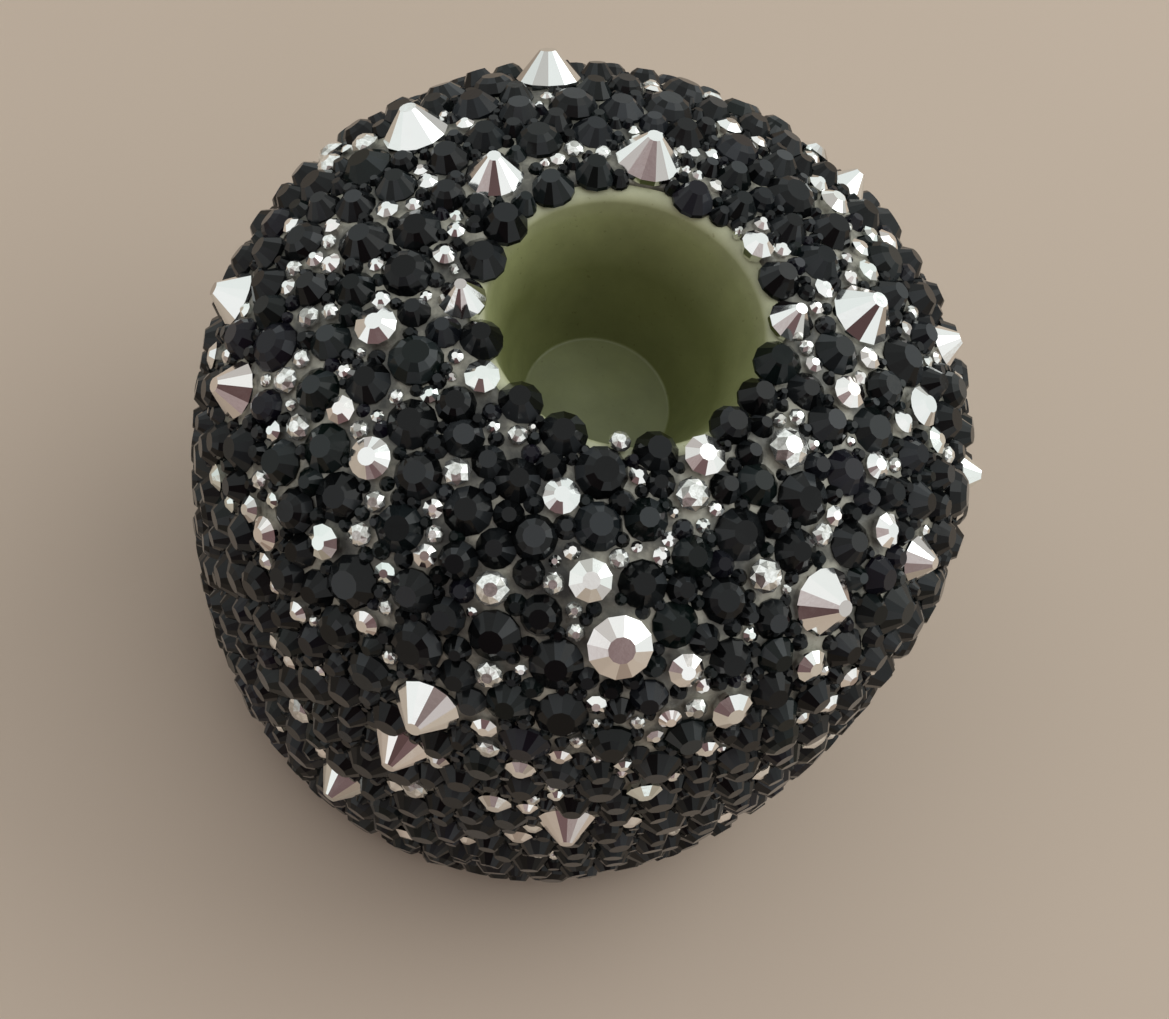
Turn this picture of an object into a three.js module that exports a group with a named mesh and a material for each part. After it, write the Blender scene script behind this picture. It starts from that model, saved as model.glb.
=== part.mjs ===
// Candle holder: a round ceramic body with a tapered candle cup in its top. Its outside is set
// all over with flat-backed cut stones in glue, black ones packed close together and silver ones
// scattered among them. Millimetres, +Z up, with the origin on the table under the middle of the foot.
import * as THREE from 'three';
import { ConvexHull } from 'three/addons/math/ConvexHull.js';

// Ceramic body
const BODY_RADIUS = 56; // at the belly, its fullest place
const BODY_HEIGHT = 103.5; // from the table to the top of the lip
const BELLY_HEIGHT = 69;
const BASE_RADIUS = 46; // where the flank ends above the foot
const SHOULDER_FULLNESS = 2.6; // 2 is a plain ellipse, more is squarer
const FLANK_FULLNESS = 2.6;
const FOOT_HEIGHT = 2; // bare foot ring below the stones
const FOOT_INSET = 5; // from the edge of the base to the foot ring
const FOOT_WIDTH = 7;
const FOOT_RECESS = 1.5; // depth of the hollow inside the foot ring

// Candle cup
const MOUTH_RADIUS = 20;
const LIP_WIDTH = 2.2; // bare rounded lip around the mouth
const LIP_DROP = 1.6; // height over which the lip rounds into the cup
const CUP_DEPTH = 25;
const CUP_FLOOR_RADIUS = 11.2;
const CUP_FILLET = 2.5; // how far the round at the edge of the floor reaches

// Black stones
const BLACK_DIAMETER = 8;
const LESSER_BLACK_DIAMETER = 7;
const BLACK_HEIGHT = 2.4; // above the glue
const BLACK_TABLE = 4; // diameter of the flat top
const TABLE_SIDES = 4;
const BLACK_COVER = 0.56; // share of the outside that they take
const RIM_DISTANCE = 1.6; // from the lip to the middles of those around the mouth

// Silver stones: tall cones in three sizes and lower ones with broad tables in three sizes
const LARGE_CONE_DIAMETER = 9.8;
const LARGE_CONE_HEIGHT = 4.6;
const LARGE_CONE_TABLE = 2.4;
const MIDDLE_CONE_DIAMETER = 8.4;
const MIDDLE_CONE_HEIGHT = 3.9;
const MIDDLE_CONE_TABLE = 2.1;
const SMALL_CONE_DIAMETER = 6.8;
const SMALL_CONE_HEIGHT = 3.1;
const SMALL_CONE_TABLE = 1.9;
const LARGE_TABLED_DIAMETER = 9;
const LARGE_TABLED_HEIGHT = 3.1;
const LARGE_TABLED_TABLE = 4;
const MIDDLE_TABLED_DIAMETER = 6;
const MIDDLE_TABLED_HEIGHT = 2.4;
const MIDDLE_TABLED_TABLE = 2.6;
const SMALL_TABLED_DIAMETER = 5;
const SMALL_TABLED_HEIGHT = 2;
const SMALL_TABLED_TABLE = 2.1;
const SILVER_SIDES = 8;
const SILVER_CLEARANCE = 1.5; // from a silver stone to the foot of the stones around it

// Glue and gaps
const ROW_COUNT = 10; // rows of glue between the lip and the base
const ROW_LEAD = 0.2; // share of a row by which its lines lie higher, as stones reach below them
const GLUE_LIFT = 0.7; // from the body to the underside of the glue
const GLUE_THICKNESS = 0.4;
const LONGEST_FLAT = 9; // a wider underside of a glue facet is raised in its middle
const STONE_SPACING = 0.2; // least gap between two stones
const RIM_OVERHANG = 2; // how far a stone may reach over the lip
const EDGE_MARGIN = 0.4; // bare strip beside the lip and the base
const ROW_GAP = 0.7; // between the glue of two rows
const SEAT_GAP = 0.3; // between two pieces that rest on each other

// Packing of the black stones
const FIRST_DRAW = 20; // another whole number gives another scatter
const SCATTER = 4; // how far a stone may start from its even place
const SETTLING_STEPS = 150;
const SETTLING_SHARE = 0.5; // share of an overlap that a step takes away
const PLACED_YIELD = 0.15; // how readily a stone with a place of its own makes way, where another has 1
const MOST_OVERLAP = 0.5; // a black stone that still overlaps another by more is left out

// Smoothness of the round forms
const ROUND_SEGMENTS = 36;
const OUTLINE_STEPS = 12;
const OUTLINE_SAMPLES = 2000;
const EDGE_POINTS = 28; // corners of the glue along the lip and along the base, at least
const LIP_STEPS = 4;
const FILLET_STEPS = 3;

// Bearings in degrees of the black stones around the mouth, between the silver ones there
const RIM_BEARINGS = [2, 41, 68, 83, 126, 163, 179, 214, 240, 266, 296, 330, 347];

// Places of the silver stones, as [bearing in degrees, percent of the way down from the lip to
// the base]. Bearing 0 is to the right of the front and 270 is the front itself.
const SILVER_CUTS = [
  {
    diameter: LARGE_CONE_DIAMETER,
    height: LARGE_CONE_HEIGHT,
    table: LARGE_CONE_TABLE,
    places: [[104, 2.5], [120, 21], [152, 17.5], [22, 8.5], [325, 22], [263, 35]],
  },
  {
    diameter: MIDDLE_CONE_DIAMETER,
    height: MIDDLE_CONE_HEIGHT,
    table: MIDDLE_CONE_TABLE,
    places: [
      [143, 2], [189, 32], [206, 29], [261, 47.5], [287, 56.5], [253, 71.5],
      [95, 52], [40, 58], [145, 66], [75, 78], [5, 64],
    ],
  },
  {
    diameter: SMALL_CONE_DIAMETER,
    height: SMALL_CONE_HEIGHT,
    table: SMALL_CONE_TABLE,
    places: [[197, 1.5], [20, 1.5], [28, 25.5], [61, 25], [346, 27.5], [8, 32.5]],
  },
  {
    diameter: LARGE_TABLED_DIAMETER,
    height: LARGE_TABLED_HEIGHT,
    table: LARGE_TABLED_TABLE,
    places: [[287, 21]],
  },
  {
    diameter: MIDDLE_TABLED_DIAMETER,
    height: MIDDLE_TABLED_HEIGHT,
    table: MIDDLE_TABLED_TABLE,
    places: [[312, 1], [335, 4.5], [204, 10.5], [284, 14], [233, 16.5], [10, 18.5], [308, 28.5]],
  },
  {
    diameter: SMALL_TABLED_DIAMETER,
    height: SMALL_TABLED_HEIGHT,
    table: SMALL_TABLED_TABLE,
    places: [
      [54, 1], [227, 1], [305, 4.5], [273, 5.5], [4, 6.5], [55, 15], [314, 15.5], [345, 19],
      [265, 19], [299, 21.5], [238, 26], [71, 26.5], [319, 28], [229, 31.5], [296, 44], [276, 53],
    ],
  },
];

const ceramic = new THREE.MeshStandardMaterial({ color: 0xa9ac7e, roughness: 0.35, metalness: 0 });
const black = new THREE.MeshStandardMaterial({ color: 0x0b0d0e, roughness: 0.12, metalness: 0 });
const silver = new THREE.MeshStandardMaterial({ color: 0xd9d8d4, roughness: 0.08, metalness: 1 });

const FULL_TURN = 2 * Math.PI;
const GOLDEN_ANGLE = Math.PI * (3 - Math.sqrt(5));

const mean = (values) => values.reduce((sum, value) => sum + value, 0) / values.length;

// Part of a superellipse about the axis, from the belly to where it has a given radius and has
// risen by a given height.
class BodyArc {
  constructor(endRadius, endRise, fullness) {
    const endShare = (endRadius / BODY_RADIUS) ** fullness;
    this.power = 2 / fullness;
    this.rise = endRise / (1 - endShare) ** (1 / fullness);
    this.endTurn = Math.acos(Math.sqrt(endShare));
  }

  point(turn) {
    const radius = BODY_RADIUS * Math.cos(turn) ** this.power;
    return [radius, BELLY_HEIGHT + this.rise * Math.sin(turn) ** this.power];
  }
}

const LIP_RADIUS = MOUTH_RADIUS + LIP_WIDTH;
const shoulder = new BodyArc(LIP_RADIUS, BODY_HEIGHT - BELLY_HEIGHT, SHOULDER_FULLNESS);
const flank = new BodyArc(BASE_RADIUS, FOOT_HEIGHT - BELLY_HEIGHT, FLANK_FULLNESS);

// Outside of the body as radius and height, from the lip over the shoulder and down to the base.
class BodyOutline extends THREE.Curve {
  getPoint(t, target = new THREE.Vector2()) {
    const turn = THREE.MathUtils.lerp(shoulder.endTurn, -flank.endTurn, t);
    return target.set(...(turn > 0 ? shoulder.point(turn) : flank.point(-turn)));
  }
}

const outline = new BodyOutline();
outline.arcLengthDivisions = OUTLINE_SAMPLES;
const OUTLINE_LENGTH = outline.getLength();
const ROW_PITCH = OUTLINE_LENGTH / ROW_COUNT;

const shareAt = (distance) => THREE.MathUtils.clamp(distance / OUTLINE_LENGTH, 0, 1);
const outlineAt = (distance) => outline.getPointAt(shareAt(distance));

function lathe(profile) {
  return new THREE.LatheGeometry(profile, ROUND_SEGMENTS).rotateX(Math.PI / 2);
}

function ceramicBody() {
  const footOuter = BASE_RADIUS - FOOT_INSET;
  const footInner = footOuter - FOOT_WIDTH;
  const cupFloor = BODY_HEIGHT - CUP_DEPTH;
  const cupTop = new THREE.Vector2(MOUTH_RADIUS, BODY_HEIGHT - LIP_DROP);
  const cupCorner = new THREE.Vector2(CUP_FLOOR_RADIUS, cupFloor);
  const wallEnd = cupTop.clone().sub(cupCorner).setLength(CUP_FILLET).add(cupCorner);
  const floorEdge = new THREE.Vector2(CUP_FLOOR_RADIUS - CUP_FILLET, cupFloor);
  const profile = [
    new THREE.Vector2(0, FOOT_RECESS),
    new THREE.Vector2(footInner, FOOT_RECESS),
    new THREE.Vector2(footInner, 0),
    new THREE.Vector2(footOuter, 0),
    new THREE.Vector2(footOuter, FOOT_HEIGHT),
    ...outline.getSpacedPoints(OUTLINE_STEPS).reverse(),
  ];
  for (let step = 1; step <= LIP_STEPS; step += 1) {
    const turn = (step / LIP_STEPS) * Math.PI / 2;
    const inward = MOUTH_RADIUS + LIP_WIDTH * (1 - Math.sin(turn));
    profile.push(new THREE.Vector2(inward, BODY_HEIGHT - LIP_DROP * (1 - Math.cos(turn))));
  }
  const fillet = new THREE.QuadraticBezierCurve(wallEnd, cupCorner, floorEdge);
  profile.push(...fillet.getPoints(FILLET_STEPS), new THREE.Vector2(0, cupFloor));
  const body = new THREE.Mesh(lathe(profile), ceramic);
  body.name = 'ceramic_body';
  return body;
}

// Turns a point of the outline's plane about the axis.
function around(point, bearing) {
  return new THREE.Vector3(point.x * Math.cos(bearing), point.x * Math.sin(bearing), point.y);
}

// A place on the body, lifted off it, with its directions around the body, up the outline and outwards.
function placeOnBody({ bearing, distance }, lift = 0) {
  const slope = outline.getTangentAt(shareAt(distance));
  const outward = around(new THREE.Vector2(-slope.y, slope.x), bearing);
  const sideways = new THREE.Vector3(-Math.sin(bearing), Math.cos(bearing), 0);
  const upward = outward.clone().cross(sideways);
  const middle = around(outlineAt(distance), bearing).addScaledVector(outward, lift);
  return { middle, sideways, upward, outward };
}

// Repeatable scatter: each draw is a number between 0 and 1.
const DRAW_FACTOR = 16807;
const DRAW_MODULUS = 2147483647;
let lastDraw = FIRST_DRAW;
function draw() {
  lastDraw = (lastDraw * DRAW_FACTOR) % DRAW_MODULUS;
  return lastDraw / DRAW_MODULUS;
}

function silverSeats() {
  return SILVER_CUTS.flatMap((cut) => cut.places.map(([degrees, percent]) => ({
    bearing: THREE.MathUtils.degToRad(degrees),
    distance: (percent / 100) * OUTLINE_LENGTH,
    diameter: cut.diameter,
    cut,
    isPlaced: true,
  })));
}

function rimSeats() {
  return RIM_BEARINGS.map((degrees) => ({
    bearing: THREE.MathUtils.degToRad(degrees),
    distance: RIM_DISTANCE,
    diameter: LESSER_BLACK_DIAMETER,
    cut: null,
    isPlaced: true,
  }));
}

const discArea = (diameter) => (Math.PI / 4) * diameter ** 2;

// Area of the outside from the lip down to each of the samples of its outline.
function areasAbove() {
  const step = OUTLINE_LENGTH / OUTLINE_SAMPLES;
  const areas = [0];
  for (let sample = 1; sample <= OUTLINE_SAMPLES; sample += 1) {
    areas.push(areas[sample - 1] + FULL_TURN * outlineAt((sample - 1 / 2) * step).x * step);
  }
  return areas;
}

// The other black stones, each with the same area to itself, a golden angle further round than the last and
// a little off its even place.
function blackSeats() {
  const areas = areasAbove();
  const sizes = [BLACK_DIAMETER, LESSER_BLACK_DIAMETER];
  const area = areas[OUTLINE_SAMPLES];
  const count = Math.round((BLACK_COVER * area) / mean(sizes.map(discArea)));
  return Array.from({ length: count }, (_, index) => {
    const sample = areas.findIndex((above) => above > ((index + 1 / 2) * area) / count);
    const distance = (sample / OUTLINE_SAMPLES) * OUTLINE_LENGTH;
    return {
      bearing: index * GOLDEN_ANGLE + ((draw() - 1 / 2) * SCATTER) / outlineAt(distance).x,
      distance: distance + (draw() - 1 / 2) * SCATTER,
      diameter: sizes[index % sizes.length],
      cut: null,
      isPlaced: false,
    };
  });
}

const yieldOf = (stone) => (stone.isPlaced ? PLACED_YIELD : 1);
const reachBetween = (one, other) => (one.diameter + other.diameter) / 2 + STONE_SPACING;

// Pushes stones that overlap apart along the surface.
function settle(stones) {
  for (let step = 0; step < SETTLING_STEPS; step += 1) {
    const frames = stones.map((stone) => placeOnBody(stone));
    const pushes = stones.map(() => new THREE.Vector3());
    stones.forEach((stone, first) => {
      for (let second = first + 1; second < stones.length; second += 1) {
        const apart = frames[first].middle.distanceTo(frames[second].middle);
        const overlap = reachBetween(stone, stones[second]) - apart;
        if (overlap > 0) {
          const push = frames[second].middle.clone().sub(frames[first].middle).setLength(overlap);
          const both = yieldOf(stone) + yieldOf(stones[second]);
          pushes[first].addScaledVector(push, -yieldOf(stone) / both);
          pushes[second].addScaledVector(push, yieldOf(stones[second]) / both);
        }
      }
    });
    stones.forEach((stone, index) => {
      const { middle, sideways, upward } = frames[index];
      const half = stone.diameter / 2;
      const push = pushes[index].multiplyScalar(SETTLING_SHARE);
      stone.bearing += push.dot(sideways) / Math.hypot(middle.x, middle.y);
      const moved = stone.distance - push.dot(upward);
      stone.distance = THREE.MathUtils.clamp(moved, half - RIM_OVERHANG, OUTLINE_LENGTH - half);
    });
  }
}

// Leaves out the stones without a place of their own that found no room.
function withRoom(stones) {
  const kept = [];
  stones.forEach((stone) => {
    const { middle } = placeOnBody(stone);
    const crowded = kept.some((other) => (
      reachBetween(stone, other) - middle.distanceTo(other.middle) > MOST_OVERLAP));
    if (stone.isPlaced || !crowded) kept.push(Object.assign(stone, { middle }));
  });
  return kept;
}

// Image of the body on a unit sphere that keeps small circles round, so that the convex hull of
// the stones' images tells which stones are neighbours.
function sphereHeights() {
  const heights = [0];
  for (let sample = 1; sample <= OUTLINE_SAMPLES; sample += 1) {
    const radius = outlineAt(((sample - 1 / 2) / OUTLINE_SAMPLES) * OUTLINE_LENGTH).x;
    heights.push(heights[sample - 1] - OUTLINE_LENGTH / OUTLINE_SAMPLES / radius);
  }
  const middle = heights[OUTLINE_SAMPLES] / 2;
  return heights.map((height) => height - middle);
}

const SPHERE_HEIGHTS = sphereHeights();

function spherePoint({ bearing, distance, beyond = 0 }) {
  const height = SPHERE_HEIGHTS[Math.round(shareAt(distance) * OUTLINE_SAMPLES)] + beyond;
  const radius = 1 / Math.cosh(height);
  return new THREE.Vector3(radius * Math.cos(bearing), radius * Math.sin(bearing), Math.tanh(height));
}

// Points around the lip and the base that bound the glue, with images a little beyond those of the stones.
function edgePoints() {
  const step = FULL_TURN / EDGE_POINTS;
  const bearings = Array.from({ length: EDGE_POINTS }, (_, index) => index * step);
  return bearings.flatMap((bearing) => [
    { isEdge: true, bearing, distance: EDGE_MARGIN, beyond: step / 2 },
    { isEdge: true, bearing, distance: OUTLINE_LENGTH - EDGE_MARGIN, beyond: -step / 2 },
  ]);
}

// Turn from one bearing to another the short way round.
function turnBetween(from, to) {
  return THREE.MathUtils.euclideanModulo(to - from + Math.PI, FULL_TURN) - Math.PI;
}

// Where the edges of two neighbours meet, as a place on the body.
function meetingPlace(one, other) {
  const reach = (stone) => stone.diameter / 2 + (stone.cut ? SILVER_CLEARANCE : 0);
  const share = reach(one) / (reach(one) + reach(other));
  return {
    bearing: one.bearing + share * turnBetween(one.bearing, other.bearing),
    distance: THREE.MathUtils.lerp(one.distance, other.distance, share),
  };
}

// Moves a place away from a silver stone, so that the stone sits clear of those around it.
function clearOf(stone, { bearing, distance }) {
  const turn = turnBetween(stone.bearing, bearing);
  const fall = distance - stone.distance;
  const apart = Math.hypot(turn * outlineAt(stone.distance).x, fall);
  const share = Math.max(1, (stone.diameter / 2 + SILVER_CLEARANCE) / apart);
  return { bearing: stone.bearing + share * turn, distance: stone.distance + share * fall };
}

// Corner of the glue facets between three neighbours, of which one or two may be points of an edge.
function facetCorner(neighbours) {
  const [first, second, third] = neighbours;
  const edge = neighbours.find((neighbour) => neighbour.isEdge);
  const places = edge ? neighbours
    : [meetingPlace(first, second), meetingPlace(second, third), meetingPlace(third, first)];
  let corner = {
    bearing: first.bearing + mean(places.map(({ bearing }) => turnBetween(first.bearing, bearing))),
    distance: edge ? edge.distance : mean(places.map(({ distance }) => distance)),
  };
  neighbours.filter((neighbour) => neighbour.cut).forEach((stone) => {
    corner = clearOf(stone, corner);
  });
  return { neighbours, bearing: corner.bearing, distance: edge ? edge.distance : corner.distance };
}

function facetCorners(stones) {
  const owners = new Map([...stones, ...edgePoints()].map((owner) => [spherePoint(owner), owner]));
  const hull = new ConvexHull().setFromPoints([...owners.keys()]);
  const triples = hull.faces.map(({ edge }) => (
    [edge, edge.next, edge.next.next].map((side) => owners.get(side.head().point))));
  return triples.filter((triple) => !triple.every(({ isEdge }) => isEdge)).map(facetCorner);
}

// Stones of a row that can be reached from one of them over its neighbours in the same row.
function connectedGroup(start) {
  const group = new Set([start]);
  group.forEach((stone) => stone.neighbours.forEach((neighbour) => {
    if (neighbour.row === start.row) group.add(neighbour);
  }));
  return group;
}

// Gives each stone its row of glue, at most one row below the stones beside and above it, so that
// every row goes all the way round. Stones cut off from their row join a neighbour's.
function assignRows(stones) {
  stones.toSorted((one, other) => one.distance - other.distance).forEach((stone) => {
    const above = [...stone.neighbours].filter((neighbour) => neighbour.distance < stone.distance);
    const lowest = Math.min(ROW_COUNT - 1, ...above.map((neighbour) => neighbour.row + 1));
    stone.row = THREE.MathUtils.clamp(Math.floor(stone.distance / ROW_PITCH + ROW_LEAD), 0, lowest);
  });
  for (let row = 0; row < ROW_COUNT; row += 1) {
    const members = stones.filter((stone) => stone.row === row);
    const groups = members.map((stone) => connectedGroup(stone));
    const largest = groups.reduce((most, group) => (group.size > most.size ? group : most), groups[0]);
    groups.filter((group) => !largest.has([...group][0])).forEach((group) => {
      const beside = [...group].flatMap((stone) => [...stone.neighbours]);
      const other = beside.find((neighbour) => neighbour.row !== row);
      group.forEach((stone) => { stone.row = other.row; });
    });
  }
}

// Gives each stone its neighbours and, for each of them, the facet corner that follows anticlockwise.
function linkStones(stones, corners) {
  stones.forEach((stone) => Object.assign(stone, { neighbours: new Set(), following: new Map() }));
  corners.forEach((corner) => corner.neighbours.forEach((stone, index) => {
    const [before, after] = [1, 2].map((step) => corner.neighbours[(index + step) % 3]);
    if (stone.isEdge) return;
    stone.following.set(before, { corner, across: after });
    if (!after.isEdge) stone.neighbours.add(after);
  }));
}

// Corners of a stone's facet in order, each with the neighbour across the side that follows it.
function facetOf(stone) {
  const [first] = stone.following.keys();
  const facet = [stone.following.get(first)];
  while (facet.at(-1).across !== first) facet.push(stone.following.get(facet.at(-1).across));
  return facet;
}

// Gathers points and triangles of one closed solid.
class SolidBuilder {
  positions = [];
  triangles = [];

  add(point) {
    this.positions.push(point.x, point.y, point.z);
    return this.positions.length / 3 - 1;
  }

  cap(ring) {
    for (let corner = 1; corner < ring.length - 1; corner += 1) {
      this.triangles.push(ring[0], ring[corner], ring[corner + 1]);
    }
  }

  fan(middle, ring) {
    ring.forEach((corner, index) => {
      this.triangles.push(middle, corner, ring[(index + 1) % ring.length]);
    });
  }

  // Joins an outer ring to an inner one, both seen anticlockwise from outside and given with
  // their bearings around the middle, which rise from the same first one.
  join(outer, outerBearings, inner, innerBearings) {
    const bearing = (bearings, step) => bearings[step % bearings.length]
      + FULL_TURN * Math.floor(step / bearings.length);
    let out = 0;
    let into = 0;
    while (out < outer.length || into < inner.length) {
      const outerCorner = outer[out % outer.length];
      const innerCorner = inner[into % inner.length];
      const outerNext = bearing(outerBearings, out + 1);
      const innerNext = bearing(innerBearings, into + 1);
      if (into === inner.length || (out < outer.length && outerNext < innerNext)) {
        out += 1;
        this.triangles.push(outerCorner, outer[out % outer.length], innerCorner);
      } else {
        into += 1;
        this.triangles.push(outerCorner, inner[into % inner.length], innerCorner);
      }
    }
  }

  geometry() {
    const geometry = new THREE.BufferGeometry();
    geometry.setAttribute('position', new THREE.Float32BufferAttribute(this.positions, 3));
    geometry.setIndex(this.triangles);
    const facets = geometry.toNonIndexed();
    facets.computeVertexNormals();
    return facets;
  }
}

// Bearings of points around the middle of a seat, rising from the first one.
function bearingsAround({ middle, sideways, upward }, points) {
  let last = -Infinity;
  return points.map((point) => {
    const arm = point.clone().sub(middle);
    let bearing = Math.atan2(arm.dot(upward), arm.dot(sideways));
    while (bearing < last) bearing += FULL_TURN;
    last = bearing;
    return bearing;
  });
}

// A corner of a row's glue at a height above the body, drawn in where the row ends beside another.
function glueCorner(corner, row, lift) {
  const own = corner.neighbours.filter((neighbour) => neighbour.row === row);
  const point = placeOnBody(corner, lift).middle;
  if (own.length === corner.neighbours.length) return point;
  const inward = new THREE.Vector3();
  own.forEach((stone) => inward.add(stone.middle).sub(placeOnBody(corner).middle));
  return point.add(inward.setLength(ROW_GAP / 2));
}

// One row of glue with a facet for each stone. A black stone rises from the corners of its facet
// to its table, and a silver one leaves its facet bare as a seat.
function stoneRow(row, stones, corners) {
  const solid = new SolidBuilder();
  const glueTop = GLUE_LIFT + GLUE_THICKNESS;
  const points = new Map();
  corners.filter(({ neighbours }) => neighbours.some((stone) => stone.row === row)).forEach((corner) => {
    const top = glueCorner(corner, row, glueTop);
    points.set(corner, { top, upper: solid.add(top), lower: solid.add(glueCorner(corner, row, GLUE_LIFT)) });
  });
  stones.filter((stone) => stone.row === row).forEach((stone) => {
    const seat = placeOnBody(stone, glueTop);
    const facet = facetOf(stone);
    const rims = facet.map(({ corner }) => points.get(corner));
    const upper = rims.map((rim) => rim.upper);
    const lower = rims.map((rim) => rim.lower);
    const wide = rims.some(({ top }) => top.distanceTo(rims[0].top) > LONGEST_FLAT);
    if (wide) solid.fan(solid.add(placeOnBody(stone, GLUE_LIFT).middle), lower.toReversed());
    else solid.cap(lower.toReversed());
    facet.forEach(({ across }, index) => {
      const next = (index + 1) % facet.length;
      if (across.row !== row) solid.cap([lower[index], lower[next], upper[next], upper[index]]);
    });
    if (stone.cut) {
      solid.cap(upper);
    } else {
      const bearings = bearingsAround(seat, rims.map(({ top }) => top));
      const tableBearings = Array.from({ length: TABLE_SIDES }, (_, side) => (
        bearings[0] + (side * FULL_TURN) / TABLE_SIDES));
      const half = (BLACK_TABLE / 2) * (stone.diameter / BLACK_DIAMETER);
      const table = tableBearings.map((bearing) => solid.add(seat.middle.clone()
        .addScaledVector(seat.outward, BLACK_HEIGHT)
        .addScaledVector(seat.sideways, half * Math.cos(bearing))
        .addScaledVector(seat.upward, half * Math.sin(bearing))));
      solid.join(upper, bearings, table, tableBearings);
      solid.cap(table);
    }
  });
  return new THREE.Mesh(solid.geometry(), black);
}

// A cut stone with a flat back and a table, seated on the glue of its facet.
function silverStone(stone) {
  const { diameter, height, table } = stone.cut;
  const cut = new THREE.CylinderGeometry(table / 2, diameter / 2, height, SILVER_SIDES);
  const mesh = new THREE.Mesh(cut, silver);
  const seat = placeOnBody(stone, GLUE_LIFT + GLUE_THICKNESS + SEAT_GAP + height / 2);
  mesh.position.copy(seat.middle);
  mesh.quaternion.setFromUnitVectors(new THREE.Vector3(0, 1, 0), seat.outward);
  return mesh;
}

const twoDigits = (number) => String(number).padStart(2, '0');

const scattered = [...silverSeats(), ...rimSeats(), ...blackSeats()];
settle(scattered);
const stones = withRoom(scattered);
const corners = facetCorners(stones);
linkStones(stones, corners);
assignRows(stones);

const crust = new THREE.Group();
for (let row = 0; row < ROW_COUNT; row += 1) {
  const mesh = stoneRow(row, stones, corners);
  mesh.name = `stone_row_${twoDigits(row + 1)}`;
  crust.add(mesh);
}

const silverStones = new THREE.Group();
stones.filter((stone) => stone.cut).forEach((stone, index) => {
  const mesh = silverStone(stone);
  mesh.name = `silver_stone_${twoDigits(index + 1)}`;
  silverStones.add(mesh);
});

const candleHolder = new THREE.Group();
candleHolder.add(ceramicBody(), crust, silverStones);

export default candleHolder;
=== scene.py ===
"""Candle holder: a glazed ceramic cup in a crust of glued, flat-backed cut stones."""
import math
from dataclasses import dataclass, replace

import bmesh
import bpy
import numpy as np
from mathutils import Matrix, Quaternion, Vector


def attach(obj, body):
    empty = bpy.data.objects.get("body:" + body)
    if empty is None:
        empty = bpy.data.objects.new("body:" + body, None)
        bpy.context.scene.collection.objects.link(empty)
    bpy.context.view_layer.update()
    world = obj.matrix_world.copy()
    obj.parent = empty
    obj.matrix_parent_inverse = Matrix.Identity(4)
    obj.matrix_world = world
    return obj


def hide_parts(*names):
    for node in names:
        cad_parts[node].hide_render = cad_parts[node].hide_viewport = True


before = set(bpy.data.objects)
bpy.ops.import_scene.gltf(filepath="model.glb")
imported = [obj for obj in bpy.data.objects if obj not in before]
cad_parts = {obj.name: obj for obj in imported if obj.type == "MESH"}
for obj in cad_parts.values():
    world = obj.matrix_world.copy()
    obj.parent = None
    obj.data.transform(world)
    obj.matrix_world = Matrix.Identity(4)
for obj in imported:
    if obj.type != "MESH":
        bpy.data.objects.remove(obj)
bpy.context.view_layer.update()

MM = 0.001
SEED = 20

# Ceramic body, in the sizes of its solid; only the round at the edge of the cup's floor is sharper
BODY_RADIUS = 56 * MM
BODY_HEIGHT = 103.5 * MM
BELLY_HEIGHT = 69 * MM
BASE_RADIUS = 46 * MM
SHOULDER_FULLNESS = 2.6  # 2 is a plain ellipse, more is squarer
FLANK_FULLNESS = 2.6
FOOT_HEIGHT = 2 * MM
FOOT_INSET = 5 * MM  # from the edge of the base to the foot ring
FOOT_WIDTH = 7 * MM
FOOT_RECESS = 1.5 * MM  # depth of the hollow inside the foot ring
FOOT_ROUND = 0.5 * MM
MOUTH_RADIUS = 20 * MM
LIP_WIDTH = 2.2 * MM
LIP_DROP = 1.6 * MM  # height over which the lip rounds into the cup
LIP_RADIUS = MOUTH_RADIUS + LIP_WIDTH
CUP_DEPTH = 25 * MM
CUP_FLOOR_RADIUS = 11.2 * MM
CUP_FILLET = 0.4 * MM

# Fineness of the meshes
BODY_SEGMENTS = 160
GLUE_SEGMENTS = 2 * BODY_SEGMENTS
OUTLINE_SAMPLES = 400
OUTLINE_STEPS = 60
CUP_WALL_STEPS = 15
CUP_FLOOR_RING = CUP_FLOOR_RADIUS / 3
ROUND_STEPS = 8
GLUE_STEPS = 240
GLUE_BACK_STEP = 8  # steps of the front of the glue to one of its hidden back
SMOOTH_ANGLE = math.radians(50)
TINY = 0.001 * MM  # points no further apart than this are one

# Glue under and between the stones, as heights above the ceramic and lengths along it
GLUE_TOP = 1.0 * MM
GLUE_BOTTOM = -0.3 * MM
GLUE_EDGE = 0.3 * MM  # from the lip and from the base to the edges of the glue
GLUE_EASE = 1.6 * MM  # length over which the glue rises from its edges
SEAT_EASE = 4 * MM  # length over which the feet of the stones rise with it
GLUE_LUMPS = 0.45 * MM
GLUE_LUMP_SIZE = 2.4 * MM

# Stones taken from the solids; the black ones, called jets, are found by their flat tables
TABLE_LEVEL = 3.5 * MM  # height of the tables above the ceramic
TABLE_BAND = 0.4 * MM  # faces as near as this to that level are parts of tables,
TABLE_SPACING = 3 * MM  # and of one table where their middles are nearer than this
POINT_DIGITS = 7  # corners that agree to so many digits are one
STONE_PER_TABLE = 2.0  # diameter of a black stone in diameters of its table,
JET_VARIETY = 0.24  # less a random share of up to this
JET_UNEVENNESS = 0.35 * MM  # how far a black stone may stay below its table
SILVER_SINK = 0.75 * MM  # how far a silver stone goes on below its solid
CONE_SLENDERNESS = 0.43  # silver stones higher than this, in diameters, are cones
CRYSTAL_NODES = ("silver_stone_26", "silver_stone_34", "silver_stone_38", "silver_stone_40")

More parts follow.
